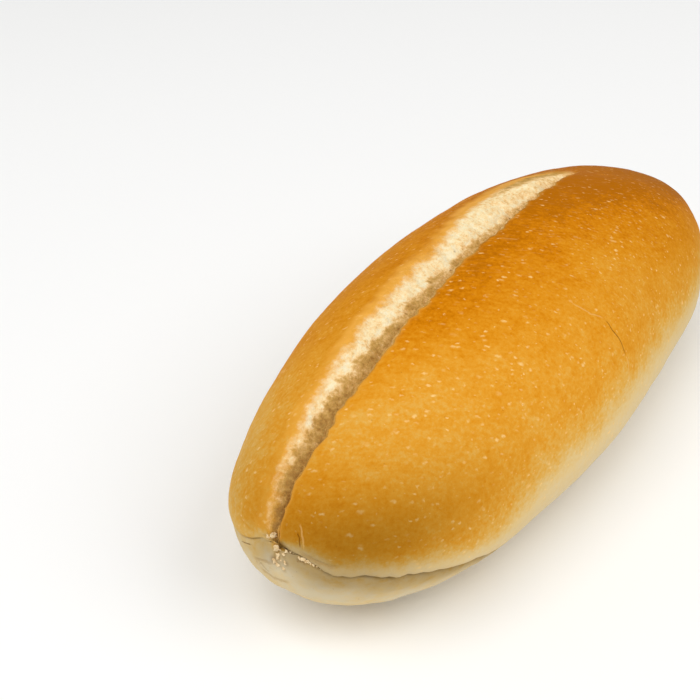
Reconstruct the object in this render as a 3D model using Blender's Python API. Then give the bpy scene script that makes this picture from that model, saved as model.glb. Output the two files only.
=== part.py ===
"""A bolillo roll: an oval wheat roll with one lengthwise slash, modelled as a single closed loaf.

The loaf lies along X on its flat base, with +Z up. It is a loft of upright sections. Each section starts
as a plain outline of base, flanks and domes. The slash and the two end creases are then drawn on that
outline as paths of (distance along the outline, height above it), so that the ear can overhang.
"""

import bpy
import numpy as np

MM = 0.001

# The loaf as a whole. The broad side is -Y and the narrow side is +Y, as the slash divides the crust.
LENGTH = 150 * MM
HEIGHT = 44.4 * MM
BROAD_HALF_WIDTH = 31.6 * MM
NARROW_HALF_WIDTH = 35.2 * MM
EQUATOR_HEIGHT = 16.8 * MM
BASE_SHARE = 0.38  # half-width of the flat base in the middle, as a share of the loaf's half-width
END_BASE_SHARE = 0.12  # the same where the ends have risen off the tray
BASE_CUT = 1.35 * MM  # how much of the round underside the tray has flattened

# The two ends: -X is the near end, where the slash runs out into the creases, and +X is the far end.
NEAR_TIP_HEIGHT = 23.4 * MM
FAR_TIP_HEIGHT = 21.0 * MM
TIP_RISE_POWER = 4  # how late the equator rises to the tips
NEAR_PLAN = (1.76, 2.71)  # powers of the plan's taper: the near end is blunt
FAR_PLAN = (2.59, 2.06)
NEAR_CROWN_POWER = 2.43
FAR_CROWN_POWER = 1.75
NEAR_KEEL_POWER = 4.76
FAR_KEEL_POWER = 3.99
NEAR_CROWN_EXTRA = 0.06  # the near end is this share taller than the far end, each way from the middle
BROAD_TAPER = -0.064  # how the half-widths change from the near end to the far end
NARROW_TAPER = 0.070
BEND = (2.7 * MM, 0.6 * MM)  # sideways drift of the centre line, by u and u squared
FOOT_REACH = 6.0 * MM  # the pale foot stands this far out below the near tip
FOOT_DRIFT = 2.4 * MM  # and leans this far to the narrow side
FOOT_LOWNESS = 0.55  # below 1, it stands out most below half the tip's height
FOOT_REACH_POWER = 1.5

# Fullness of the section's curves, as superellipse powers.
BROAD_DOME_POWER = 2.22
NARROW_DOME_POWER = 1.95
FLANK_POWER = 1.82

# The slash. Its lip is the sharp broad-side edge, and its shoulder is the soft narrow-side one.
LIP_PATH = (1.4 * MM, 4.7 * MM, 3.6 * MM)  # distance from the centre line, by 1, u and u squared
SLASH_WIDTH = 13.0 * MM
SLASH_DEPTH = 5.2 * MM
SLASH_PEAK = -0.08  # where it is widest, in half lengths from the middle
SLASH_NEAR_SPAN = 1.13
SLASH_FAR_SPAN = 0.74
NEAR_DEPTH_SHARE = 0.50  # how deep it still is at the near tip
TIP_SLASH_TAPER = 0.12  # how fast it narrows where the section closes
SLASH_OPENING_RATE = 3  # how soon the far end takes the full shape of the path
EAR_HEIGHT = 1.0 * MM
EAR_REACH = 7.0 * MM
LIP_WAVE = 0.22 * MM  # the lip's edge wanders by this much
LIP_WAVE_LENGTHS = (23.0 * MM, 10.3 * MM)
# From lip to shoulder: share of the width, share of the depth.
SLASH_PATH = (
    (0.00, 0.00),
    (0.045, 0.05),
    (0.055, 0.18),
    (-0.03, 0.50),
    (-0.02, 0.82),
    (0.12, 1.00),
    (0.30, 0.93),
    (0.52, 0.64),
    (0.74, 0.28),
    (0.90, 0.06),
    (1.00, 0.00),
)

# The creases at the near end, where the crust has lifted off the pale foot.
# Each starts at the junction with a short steep fall and goes on with a steady one along the flank.
BROAD_CREASE_DROP = 1.8 * MM
NARROW_CREASE_DROP = 3.0 * MM
CREASE_DROP_REACH = 0.5 * MM
CREASE_SLOPE = 0.27
CREASE_CURVE = 5.5  # per metre
CREASE_FLOOR = 7.0 * MM
CREASE_FLOOR_BLEND = 6.0 * MM
CREASE_LEAST_SHARE = 0.4  # it stays this share of the flank's height above the underside
BROAD_CREASE_LENGTH = 38 * MM
NARROW_CREASE_LENGTH = 30 * MM
BROAD_CREASE_STRENGTH = 1.0
NARROW_CREASE_STRENGTH = 0.6
CREASE_BULGE = 0.7 * MM  # the crust swells this much over the crease
CREASE_BULGE_REACH = 6.0 * MM
TIP_CREASE_PERIMETER = 40 * MM  # the creases shrink in sections smaller than this
# From foot to crust, in metres: distance up the outline, height above it.
CREASE_PATH = (
    (-1.1 * MM, 0.0 * MM),
    (-0.4 * MM, -0.5 * MM),
    (0.7 * MM, -2.2 * MM),
    (0.8 * MM, -1.2 * MM),
    (0.1 * MM, 0.1 * MM),
    (0.5 * MM, 0.6 * MM),
    (1.3 * MM, 0.7 * MM),
)

SWELL_FADE = 16 * MM  # swells fade within this distance of the centre line
# Unevenness of the dough: place along X, height, side (-1 broad, 1 narrow), radius, rise.
SWELLS = (
    (14 * MM, 25 * MM, -1, 17 * MM, -0.9 * MM),
    (-34 * MM, 18 * MM, -1, 24 * MM, -1.0 * MM),
    (46 * MM, 26 * MM, -1, 16 * MM, 0.5 * MM),
    (-20 * MM, 22 * MM, 1, 18 * MM, 0.6 * MM),
    (28 * MM, 24 * MM, 1, 15 * MM, -0.6 * MM),
    (52 * MM, 36 * MM, -1, 12 * MM, 0.4 * MM),
)

# How finely the loft is cut.
STATIONS = 76
ARC_STEPS = 48
TANGENT_STEPS = 384  # steps round an outline over which its direction is read
SMALLEST_STEP = 1e-9
BASE_COLUMNS = 3
FOOT_COLUMNS = 5
CREASE_COLUMNS = 6
BROAD_DOME_COLUMNS = 15
SLASH_COLUMNS = 13
NARROW_DOME_COLUMNS = 9
CREASE_HALF_GAP = 1.1 * MM  # plain width of a crease's columns, each way

CRUST_COLOUR = (0.68, 0.33, 0.07, 1.0)
CRUST_ROUGHNESS = 0.5


def by_end(u, near, far):
    """The near end's value for u below 0, and the far end's above."""
    return near if u < 0 else far


def taper(u, power, root=2.0):
    """Falls from 1 in the middle to 0 at a tip, round at the tip."""
    return max(0.0, 1 - abs(u) ** power) ** (1 / root)


def raised(base, power):
    """A power that keeps cosines of a right angle at 0."""
    return np.maximum(base, 0.0) ** power


def spline(points, count):
    """A smooth curve through the points, Catmull-Rom, read at count even steps."""
    points = np.array(points)
    knots = np.vstack([2 * points[0] - points[1], points, 2 * points[-1] - points[-2]])
    at = np.linspace(0, len(points) - 1, count)
    start = np.minimum(at.astype(int), len(points) - 2)
    t = (at - start)[:, None]
    a, b, c, d = (knots[start + k] for k in range(4))
    return 0.5 * (
        2 * b
        + (c - a) * t
        + (2 * a - 5 * b + 4 * c - d) * t**2
        + (3 * b - a - 3 * c + d) * t**3
    )


class Section:
    """One upright cut across the loaf at u, which runs from -1 at the near tip to 1 at the far one."""

    def __init__(self, u):
        self.u = u
        self.x = u * LENGTH / 2
        self.plan = taper(u, *by_end(u, NEAR_PLAN, FAR_PLAN))
        self.centre = BEND[0] * u + BEND[1] * u**2
        self.broad = BROAD_HALF_WIDTH * self.plan * (1 + BROAD_TAPER * u)
        self.narrow = NARROW_HALF_WIDTH * self.plan * (1 + NARROW_TAPER * u)
        tip = by_end(u, NEAR_TIP_HEIGHT, FAR_TIP_HEIGHT)
        self.equator = EQUATOR_HEIGHT + (tip - EQUATOR_HEIGHT) * abs(u) ** TIP_RISE_POWER
        crown_power = by_end(u, NEAR_CROWN_POWER, FAR_CROWN_POWER)
        crown = HEIGHT * (1 - NEAR_CROWN_EXTRA * u) - self.equator
        self.rise = crown * taper(u, crown_power)
        keel = taper(u, by_end(u, NEAR_KEEL_POWER, FAR_KEEL_POWER))
        lowest = self.equator - (self.equator + BASE_CUT) * keel
        self.floor = max(0.0, lowest)
        pressed = (max(0.0, -lowest) / BASE_CUT) ** 0.5
        self.base_share = END_BASE_SHARE + (BASE_SHARE - END_BASE_SHARE) * pressed
        self.draw_outline()

    def draw_outline(self):
        """The outline from the middle of the base, round the broad side, crown and narrow side, and back."""
        up = np.linspace(0, np.pi / 2, ARC_STEPS)
        down = up[::-1]
        broad_half = self.half(up, down, self.broad, BROAD_DOME_POWER)
        narrow_half = self.half(up, down, self.narrow, NARROW_DOME_POWER)
        broad_half[:, 0] *= -1
        self.points = np.vstack([broad_half, narrow_half[-2::-1]])
        self.points[:, 0] += self.centre
        steps = np.hypot(*np.diff(self.points, axis=0).T)
        self.along = np.concatenate([[0.0], np.cumsum(steps)])
        self.crown_index = len(broad_half) - 1
        self.broad_corner = self.along[ARC_STEPS // 4 - 1]
        self.narrow_corner = self.along[-(ARC_STEPS // 4)]

    def half(self, up, down, width, dome_power):
        """Half an outline, from the middle of the base to the crown, on the +Y side."""
        base = self.base_share * width
        depth = self.equator - self.floor
        flank_y = base + (width - base) * raised(np.cos(down), 2 / FLANK_POWER)
        flank_z = self.equator - depth * raised(np.sin(down), 2 / FLANK_POWER)
        dome_y = width * raised(np.cos(up), 2 / dome_power)
        dome_z = self.equator + self.rise * raised(np.sin(up), 2 / dome_power)
        flat_y = np.linspace(0, base, ARC_STEPS // 4)[:-1]
        flat_z = np.full_like(flat_y, self.floor)
        y = np.concatenate([flat_y, flank_y, dome_y[1:]])
        z = np.concatenate([flat_z, flank_z, dome_z[1:]])
        return np.stack([y, z], axis=1)

    def at_height(self, z, side):
        """Distance along the outline at which one side reaches a height."""
        if side < 0:
            part = slice(ARC_STEPS // 4, self.crown_index + 1)
            return np.interp(z, self.points[part, 1], self.along[part])
        part = slice(self.crown_index, len(self.points) - ARC_STEPS // 4)
        return np.interp(-z, -self.points[part, 1], self.along[part])

    def at_offset(self, y):
        """Distance along the outline at which the crust is this far from the centre line."""
        first = np.argmin(self.points[:, 0])
        last = np.argmax(self.points[:, 0])
        part = slice(first, last + 1)
        return np.interp(self.centre + y, self.points[part, 0], self.along[part])

    def place(self, along, lift):
        """Points at distances along the outline, moved out by lift."""
        step = self.along[-1] / TANGENT_STEPS
        here, before, after = (
            np.stack([np.interp(a, self.along, self.points[:, k]) for k in (0, 1)], axis=1)
            for a in (along, along - step, along + step)
        )
        tangent = after - before
        tangent /= np.maximum(np.linalg.norm(tangent, axis=1, keepdims=True), SMALLEST_STEP)
        outward = np.stack([-tangent[:, 1], tangent[:, 0]], axis=1)
        return here + outward * lift[:, None]


def slash_strength(u):
    """1 where the slash is widest, falling to the near tip's share and to 0 at its far end."""
    span = SLASH_NEAR_SPAN if u < SLASH_PEAK else SLASH_FAR_SPAN
    return max(0.0, 1 - ((u - SLASH_PEAK) / span) ** 2)


def slash_rails(section):
    """Distances along the outline of the lip and the shoulder, and the slash's depth between them."""
    u = section.u
    closing = section.plan * (1 + TIP_SLASH_TAPER) / (section.plan + TIP_SLASH_TAPER)
    wave = sum(np.sin(2 * np.pi * section.x / length + length / MM) for length in LIP_WAVE_LENGTHS)
    strength = slash_strength(u)
    offset = LIP_PATH[0] + LIP_PATH[1] * u + LIP_PATH[2] * u**2 + LIP_WAVE * wave * strength
    width = max(SLASH_WIDTH * strength, 2 * CREASE_HALF_GAP) * closing
    lip = section.at_offset(offset * closing)
    near_tip = NEAR_DEPTH_SHARE + (1 - NEAR_DEPTH_SHARE) * strength
    depth = SLASH_DEPTH * closing * (near_tip if u < SLASH_PEAK else strength)
    return lip, lip + width, depth


def crease_height(section, first_drop):
    """How high a crease runs above the tray at a section."""
    run = section.x + LENGTH / 2
    drop = first_drop * (1 - np.exp(-run / CREASE_DROP_REACH))
    height = NEAR_TIP_HEIGHT - drop - CREASE_SLOPE * run - CREASE_CURVE * run**2
    over_floor = height - CREASE_FLOOR
    level = CREASE_FLOOR + (over_floor + np.hypot(over_floor, CREASE_FLOOR_BLEND)) / 2
    return max(level, section.floor + CREASE_LEAST_SHARE * (section.equator - section.floor))


def crease_strength(section, length, full):
    """How open a crease is, from full near the tip to 0 at its length."""
    run = (section.x + LENGTH / 2) / length
    closing = min(1.0, section.along[-1] / TIP_CREASE_PERIMETER)
    return full * closing * max(0.0, 1 - run**2) ** 1.5


def crease_lane(middle, strength, scale):
    """The crease's own columns, from foot to crust, as (along, lift)."""
    plain = np.linspace(-CREASE_HALF_GAP, CREASE_HALF_GAP, CREASE_COLUMNS) * scale
    open_path = spline(CREASE_PATH, CREASE_COLUMNS)
    along = plain * (1 - strength) + open_path[:, 0] * strength
    return middle + along, open_path[:, 1] * strength


def slash_lane(lip, shoulder, depth, strength):
    """The slash's columns, from lip to shoulder, as (along, lift)."""
    path = spline(SLASH_PATH, SLASH_COLUMNS)
    plain = np.linspace(0, 1, SLASH_COLUMNS)
    open_share = min(1.0, SLASH_OPENING_RATE * strength)
    across = plain * (1 - open_share) + path[:, 0] * open_share
    return lip + (shoulder - lip) * across, -depth * path[:, 1]


def inner_columns(start, end, count):
    """Distances between two rails, without the rails themselves."""
    return np.linspace(start, end, count + 2)[1:-1]


def swell_lift(section, along):
    """How far the dough's unevenness moves points of a plain outline."""
    spots = section.place(along, np.zeros_like(along))
    side = np.sign(spots[:, 0] - section.centre)
    lift = np.zeros_like(along)
    for x, height, swell_side, radius, rise in SWELLS:
        apart = np.hypot(section.x - x, spots[:, 1] - height)
        lift += rise * np.exp(-((apart / radius) ** 2)) * np.clip(side * swell_side, 0, 1)
    return lift * np.clip(np.abs(spots[:, 0] - section.centre) / SWELL_FADE, 0, 1)


def loft_section(u):
    """One ring of the loaf's points, as y and z in order round it, and the section."""
    section = Section(u)
    perimeter = section.along[-1]
    lip, shoulder, depth = slash_rails(section)
    scale = min(1.0, perimeter / TIP_CREASE_PERIMETER)
    gap = CREASE_HALF_GAP * scale
    broad_crease = section.at_height(crease_height(section, BROAD_CREASE_DROP), -1)
    narrow_crease = section.at_height(crease_height(section, NARROW_CREASE_DROP), 1)
    broad_strength = crease_strength(section, BROAD_CREASE_LENGTH, BROAD_CREASE_STRENGTH)
    narrow_strength = crease_strength(section, NARROW_CREASE_LENGTH, NARROW_CREASE_STRENGTH)

    broad_along, broad_lift = crease_lane(broad_crease, broad_strength, scale)
    turned_along, narrow_lift = crease_lane(0.0, narrow_strength, scale)
    narrow_along = narrow_crease - turned_along[::-1]
    slash_along, slash_lift = slash_lane(lip, shoulder, depth, slash_strength(u))

    broad_dome = inner_columns(broad_crease + gap, lip, BROAD_DOME_COLUMNS)
    narrow_dome = inner_columns(shoulder, narrow_crease - gap, NARROW_DOME_COLUMNS)
    ear = EAR_HEIGHT * slash_strength(u) * scale
    ear_lift = ear * np.exp(-(((lip - broad_dome) / EAR_REACH) ** 2))
    bulge = CREASE_BULGE * np.exp(-(((broad_dome - broad_crease) / CREASE_BULGE_REACH) ** 2))
    far_bulge = CREASE_BULGE * np.exp(-(((narrow_crease - narrow_dome) / CREASE_BULGE_REACH) ** 2))
    lip_share = np.linspace(1, 0, SLASH_COLUMNS) ** 2

    along = np.concatenate(
        [
            np.linspace(0.0, section.broad_corner, BASE_COLUMNS + 1)[1:],
            inner_columns(section.broad_corner, broad_crease - gap, FOOT_COLUMNS),
            broad_along,
            broad_dome,
            slash_along,
            narrow_dome,
            narrow_along,
            inner_columns(narrow_crease + gap, section.narrow_corner, FOOT_COLUMNS),
            np.linspace(section.narrow_corner, perimeter, BASE_COLUMNS + 1),
        ]
    )
    lift = np.concatenate(
        [
            np.zeros(BASE_COLUMNS + FOOT_COLUMNS),
            broad_lift,
            ear_lift + bulge * broad_strength,
            slash_lift + ear * lip_share,
            far_bulge * narrow_strength,
            narrow_lift[::-1],
            np.zeros(FOOT_COLUMNS + BASE_COLUMNS + 1),
        ]
    )
    ring = section.place(along, lift + swell_lift(section, along))
    return section, ring


def foot_share(section, z):
    """1 where the foot stands out most, below the near tip, and 0 on the tray and on the crust."""
    if section.u > 0:
        return np.zeros_like(z)
    share = np.clip(z / NEAR_TIP_HEIGHT, 0, 1) ** FOOT_LOWNESS
    return np.sin(np.pi * share) * (1 - section.plan) ** FOOT_REACH_POWER


def loaf_points():
    """All rings from the near tip to the far one, and the two tips, centred over the origin."""
    rings = []
    for turn in np.linspace(0, np.pi, STATIONS + 2)[1:-1]:
        section, ring = loft_section(-np.cos(turn))
        share = foot_share(section, ring[:, 1])
        x = section.x - FOOT_REACH * share
        y = ring[:, 0] + FOOT_DRIFT * share
        rings.append(np.column_stack([x, y, np.maximum(ring[:, 1], 0.0)]))
    near_tip = (-LENGTH / 2, -BEND[0] + BEND[1], NEAR_TIP_HEIGHT)
    far_tip = (LENGTH / 2, BEND[0] + BEND[1], FAR_TIP_HEIGHT)
    points = np.vstack([near_tip, *rings, far_tip])
    middle = (points.min(axis=0) + points.max(axis=0)) / 2
    return points - (middle[0], middle[1], 0.0), len(rings[0])


def loaf_faces(columns):
    """Quads between neighbouring rings, and fans of triangles at the tips."""
    faces = []
    last = 1 + STATIONS * columns
    for column in range(columns):
        beside = (column + 1) % columns
        faces.append((0, 1 + column, 1 + beside))
        for station in range(STATIONS - 1):
            here = 1 + station * columns
            after = here + columns
            faces.append((here + column, after + column, after + beside, here + beside))
        here = last - columns
        faces.append((here + column, last, here + beside))
    return faces


def crust_material():
    """Baked wheat crust."""
    material = bpy.data.materials.new("crust")
    material.use_nodes = True
    shader = material.node_tree.nodes["Principled BSDF"]
    shader.inputs["Base Color"].default_value = CRUST_COLOUR
    shader.inputs["Roughness"].default_value = CRUST_ROUGHNESS
    return material


def make_roll():
    """The loaf as one mesh object."""
    points, columns = loaf_points()
    mesh = bpy.data.meshes.new("bolillo_roll")
    mesh.from_pydata(points.tolist(), [], loaf_faces(columns))
    mesh.update()
    mesh.shade_smooth()
    roll = bpy.data.objects.new("bolillo_roll", mesh)
    roll.data.materials.append(crust_material())
    bpy.context.scene.collection.objects.link(roll)
    return roll


def main():
    for old in list(bpy.data.objects):
        bpy.data.objects.remove(old, do_unlink=True)
    make_roll()


main()
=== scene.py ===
"""The looks of a bolillo roll: golden crust, a torn slash of pale crumb, and a pale foot on a flat base.

The roll is lofted again from the named sizes of its solid, much finer, and then gets the relief of its
skin, crumb and creases. Its colours come from how far the oven has browned each place.
"""

from math import radians

import bmesh
import bpy
import numpy as np
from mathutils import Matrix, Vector, noise


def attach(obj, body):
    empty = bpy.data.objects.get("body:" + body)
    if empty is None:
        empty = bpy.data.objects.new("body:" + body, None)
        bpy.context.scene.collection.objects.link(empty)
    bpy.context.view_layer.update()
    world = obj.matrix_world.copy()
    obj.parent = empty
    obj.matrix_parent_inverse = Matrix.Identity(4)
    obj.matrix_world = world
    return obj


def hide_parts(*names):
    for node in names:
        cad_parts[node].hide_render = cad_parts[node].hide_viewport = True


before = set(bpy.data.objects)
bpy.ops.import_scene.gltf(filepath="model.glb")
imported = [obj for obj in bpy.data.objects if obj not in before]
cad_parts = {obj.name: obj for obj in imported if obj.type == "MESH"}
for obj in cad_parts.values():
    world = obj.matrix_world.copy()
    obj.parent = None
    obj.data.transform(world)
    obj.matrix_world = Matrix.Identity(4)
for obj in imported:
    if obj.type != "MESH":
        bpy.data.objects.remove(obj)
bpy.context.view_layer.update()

MM = 0.001

# The loaf as a whole. The broad side is -Y and the narrow side is +Y, as the slash divides the crust.
LENGTH = 150 * MM
HEIGHT = 44.4 * MM
BROAD_HALF_WIDTH = 31.6 * MM
NARROW_HALF_WIDTH = 35.2 * MM
EQUATOR_HEIGHT = 16.8 * MM
BASE_SHARE = 0.38  # half-width of the flat base in the middle, as a share of the loaf's half-width
END_BASE_SHARE = 0.12  # the same where the ends have risen off the tray
BASE_CUT = 1.35 * MM  # how much of the round underside the tray has flattened

# The two ends: -X is the near end, where the slash runs out into the creases, and +X is the far end.
NEAR_TIP_HEIGHT = 23.4 * MM
FAR_TIP_HEIGHT = 21.0 * MM
TIP_RISE_POWER = 4
NEAR_PLAN = (1.76, 2.71)
FAR_PLAN = (2.59, 2.06)
NEAR_CROWN_POWER = 2.43
FAR_CROWN_POWER = 1.75
NEAR_KEEL_POWER = 4.76
FAR_KEEL_POWER = 3.99
NEAR_CROWN_EXTRA = 0.06
BROAD_TAPER = -0.064
NARROW_TAPER = 0.070
BEND = (2.7 * MM, 0.6 * MM)
FOOT_REACH = 6.0 * MM
FOOT_DRIFT = 2.4 * MM
FOOT_LOWNESS = 0.55
FOOT_REACH_POWER = 1.5

# Fullness of the section's curves, as superellipse powers.
BROAD_DOME_POWER = 2.22
NARROW_DOME_POWER = 1.95
FLANK_POWER = 1.82

# The slash. Its lip is the sharp broad-side edge, and its shoulder is the soft narrow-side one.
LIP_PATH = (1.4 * MM, 4.7 * MM, 3.6 * MM)
SLASH_WIDTH = 13.0 * MM
SLASH_DEPTH = 5.2 * MM
SLASH_PEAK = -0.08
SLASH_NEAR_SPAN = 1.13
SLASH_FAR_SPAN = 0.74
NEAR_DEPTH_SHARE = 0.50
TIP_SLASH_TAPER = 0.12
SLASH_OPENING_RATE = 3
EAR_HEIGHT = 1.0 * MM
EAR_REACH = 7.0 * MM
LIP_WAVE = 0.22 * MM
LIP_WAVE_LENGTHS = (23.0 * MM, 10.3 * MM)
# From lip to shoulder: share of the width, share of the depth.
SLASH_PATH = (
    (0.00, 0.00),
    (0.045, 0.05),
    (0.055, 0.18),
    (-0.03, 0.50),
    (-0.02, 0.82),
    (0.12, 1.00),
    (0.30, 0.93),
    (0.52, 0.64),
    (0.74, 0.28),
    (0.90, 0.06),
    (1.00, 0.00),
)

# The creases at the near end, where the crust has lifted off the pale foot.
BROAD_CREASE_DROP = 1.8 * MM
NARROW_CREASE_DROP = 3.0 * MM
CREASE_DROP_REACH = 0.5 * MM
CREASE_SLOPE = 0.27
CREASE_CURVE = 5.5  # per metre
CREASE_FLOOR = 7.0 * MM
CREASE_FLOOR_BLEND = 6.0 * MM
CREASE_LEAST_SHARE = 0.4
BROAD_CREASE_LENGTH = 38 * MM
NARROW_CREASE_LENGTH = 30 * MM
BROAD_CREASE_STRENGTH = 1.0
NARROW_CREASE_STRENGTH = 0.6
CREASE_BULGE = 0.7 * MM
CREASE_BULGE_REACH = 6.0 * MM
TIP_CREASE_PERIMETER = 40 * MM
# From foot to crust, in metres: distance up the outline, height above it.
CREASE_PATH = (
    (-1.1 * MM, 0.0 * MM),
    (-0.4 * MM, -0.5 * MM),
    (0.7 * MM, -2.2 * MM),
    (0.8 * MM, -1.2 * MM),
    (0.1 * MM, 0.1 * MM),
    (0.5 * MM, 0.6 * MM),
    (1.3 * MM, 0.7 * MM),
)

SWELL_FADE = 16 * MM
# Unevenness of the dough: place along X, height, side (-1 broad, 1 narrow), radius, rise.
SWELLS = (
    (14 * MM, 25 * MM, -1, 17 * MM, -0.9 * MM),
    (-34 * MM, 18 * MM, -1, 24 * MM, -1.0 * MM),
    (46 * MM, 26 * MM, -1, 16 * MM, 0.5 * MM),
    (-20 * MM, 22 * MM, 1, 18 * MM, 0.6 * MM),
    (28 * MM, 24 * MM, 1, 15 * MM, -0.6 * MM),
    (52 * MM, 36 * MM, -1, 12 * MM, 0.4 * MM),
)

# How finely the loft is cut. The roll stays under 200,000 triangles.
STATIONS = 290
STATION_TRIALS = 3000
GIRTH_STEP_SHARE = 0.7  # how much the change of girth counts when the stations are spaced
ARC_STEPS = 160
TANGENT_STEPS = 384
SMALLEST_STEP = 1e-9
BASE_COLUMNS = 6
FOOT_COLUMNS = 22
CREASE_COLUMNS = 16
BROAD_DOME_COLUMNS = 112
SLASH_COLUMNS = 60
NARROW_DOME_COLUMNS = 80
CREASE_HALF_GAP = 1.1 * MM

# Ragged teeth of the slash's torn lip, and of the crust's lower edge where it tore off the foot on the
# broad side, as (wavelength, reach). The noise seldom passes 0.6, so the gain brings it near 1.
LIP_TEETH = ((4.4 * MM, 0.32 * MM), (1.4 * MM, 0.36 * MM))
CREASE_TEETH = ((3.6 * MM, 0.45 * MM), (1.5 * MM, 0.28 * MM))
NOISE_GAIN = 1.6

# Each seed moves the noise by this many of its own sizes.
BUMP_SEED_STEP = (31.7, 17.3, 7.9)
CELL_SEED_STEP = (13.1, 29.9, 5.7)
CELL_NUMBER_SCALE = 7.3
# Relief, as (size, height, seed) and octaves where there are more than two. The finest is in the material.
DOUGH_SWELLS = ((24 * MM, 0.35 * MM, 1),)
SKIN_RIPPLES = ((7 * MM, 0.09 * MM, 2), (2.2 * MM, 0.035 * MM, 3))
# The torn crumb is drawn out along the slash.
CRUMB_LUMPS = ((3.0 * MM, 0.40 * MM, 4), (1.2 * MM, 0.22 * MM, 5, 3))
CRUMB_STRETCH = (1.6, 1.0, 1.0)
FOOT_FOLDS = ((5.0 * MM, 0.20 * MM, 6, 3),)
FOOT_FOLD_STRETCH = (1.0, 2.4, 0.45)
# Pits that gas bubbles left in the crumb. They are shallower away from the lip.
PIT_SPACING = 2.6 * MM
PIT_DEPTH = 0.6 * MM
PIT_SLOPE = (0.9 * MM, 0.2 * MM)  # how far from its middle a pit begins and reaches its full depth
PIT_SEED = 9
NO_PIT_SHARE = 0.35  # share of the places that have none
SHALLOW_PITS = 0.6
SHALLOW_SPAN = (0.2, 0.6)  # shares of the way across the slash

# How brown the crust is, from 0 (raw pale) to 1 (darkest), at each height in millimetres.
BAKE_BY_HEIGHT = (
    (0, 0.05),
    (12, 0.07),
    (17, 0.13),
    (20, 0.21),
    (23, 0.33),
    (26, 0.44),
    (29.5, 0.54),
    (35, 0.58),
    (45, 0.60),
)
# At the near end the brown reaches lower down.
NEAR_BAKE_DROP = 6 * MM
NEAR_BAKE_SPAN = (-30 * MM, -55 * MM)
# How much browner the crust is towards the slash's lip: place and reach in millimetres, and change.
LIP_BAKE = ((-66, 6, -0.03), (-54, 6, 0.04), (-40, 7, 0.18), (-18, 12, 0.25), (10, 15, 0.30), (60, 18, 0.33))
LIP_BAKE_HEIGHTS = (20 * MM, 32 * MM)
# Places that baked browner or paler than the rest: place and radii in millimetres, and change.
BAKE_SPOTS = (
    ((-62, 15, 30), (20, 12, 14), -0.20),
    ((64, 0, 36), (36, 30, 15), 0.46),
    ((76, -8, 26), (20, 26, 14), 0.30),
    ((-70, 9, 30), (11, 9, 10), -0.10),
    ((-18, -7, 45), (24, 15, 12), 0.05),
    ((-54, -15, 38), (16, 14, 12), -0.15),
    ((0, 21, 38), (46, 13, 14), 0.14),
    ((-72, -15, 29), (15, 18, 8), 0.16),
)
BAKE_SPOT_HEIGHTS = (12 * MM, 24 * MM)
BAKE_PATCHES = ((15 * MM, 0.07, 7), (4 * MM, 0.05, 8))
BAKE_PATCH_HEIGHTS = (14 * MM, 26 * MM)
# The crust goes pale just above a crease, where that is open.
CREASE_PALE_SPAN = (6.2 * MM, 0.3 * MM)
CREASE_PALE_BAKE = 0.10
CREASE_PALE_SHARE = 0.9
CREASE_PALE_OPENING = 0.25
# The foot is pale low down and browner just below the crease: partly its own colour, partly painted shade
# under the crust's overhang.
FOOT_BAKE_AND_SHADE = (0.06, 0.20)
FOOT_BAKE_AND_SHADE_REACH = 5.5 * MM
FOOT_PATCHES = ((7 * MM, 0.10, 10), (2.2 * MM, 0.10, 12))
# The flat base is toasted unevenly by the tray.
TRAY_BAKE = 0.36
TRAY_HEIGHTS = (0.5 * MM, 0.05 * MM)
TRAY_EVEN_SHARE = 0.8
TRAY_PATCHES = ((9 * MM, 0.5, 11),)

# The crease, in shares of its own columns from foot to crust, and how open it is where each is full.
FOOT_EDGE = (0.62, 0.48)
FOOT_OPENING = 0.3
# The crease is painted dark inside, as its shadow, around this middle share and over this width.
GROOVE_MIDDLE = 0.42
GROOVE_WIDTH = 0.20
GROOVE_OPENING = 0.7
# Painted shade on the foot under the crust's edge, where the overhang shadows it: place and reach in
# millimetres.
UNDER_CRUST_REACHES = ((-68, 5.0), (-56, 3.4), (-30, 2.2))
UNDER_CRUST_SHADE = 0.58
# On the narrow side the crease is shallow: little of its pale band and of its painted shade shows there.
NARROW_CREASE_LOOK = 0.3
BROAD_SIDE_SPAN = (5 * MM, -4 * MM)
# A painted dark spot, the shade in the hole where the creases meet the slash, in millimetres.
HOLE_PLACE = (-74.5, -4.5, 23.8)
HOLE_RADIUS = 0.9

# Where the crust is darkened towards a dull brown, low on the near end and at the far one: place and radii
# in millimetres, and share. On the near end this is painted shade, where the overhang faces away from the
# light.
SHADE_AND_DULL_SPOTS = (
    ((-72, -18, 27), (26, 20, 8), 0.62),
    ((78, -10, 28), (18, 26, 16), 0.32),
    ((48, -28, 30), (40, 14, 16), 0.15),
    ((-70, 9, 30), (11, 9, 10), 0.08),
)
# Pale streaks show on the middle and far crown, and flecks everywhere but low down and on the foot.
STREAKED_SPAN = (-30 * MM, 12 * MM)
STREAKED_HEIGHTS = (26 * MM, 37 * MM)
FLECKED_HEIGHTS = (5 * MM, 20 * MM)
FEWER_ON_FOOT = 0.9

# The slash's torn crumb begins behind the lip's thin crust edge. Its colour frays out over the shoulder,
# and its relief ends at it. Distances are past the shoulder.
SLASH_FULLY_OPEN = 0.8
LIP_EDGE_SHARE = 0.02  # share of the way across the slash
LIP_EDGE_WIDTH = 0.35 * MM
TORN_END = (12 * MM, 8 * MM)
TORN_RELIEF_END = (1 * MM, -2 * MM)
LUMPS_END = (0.0, -2.5 * MM)
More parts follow.
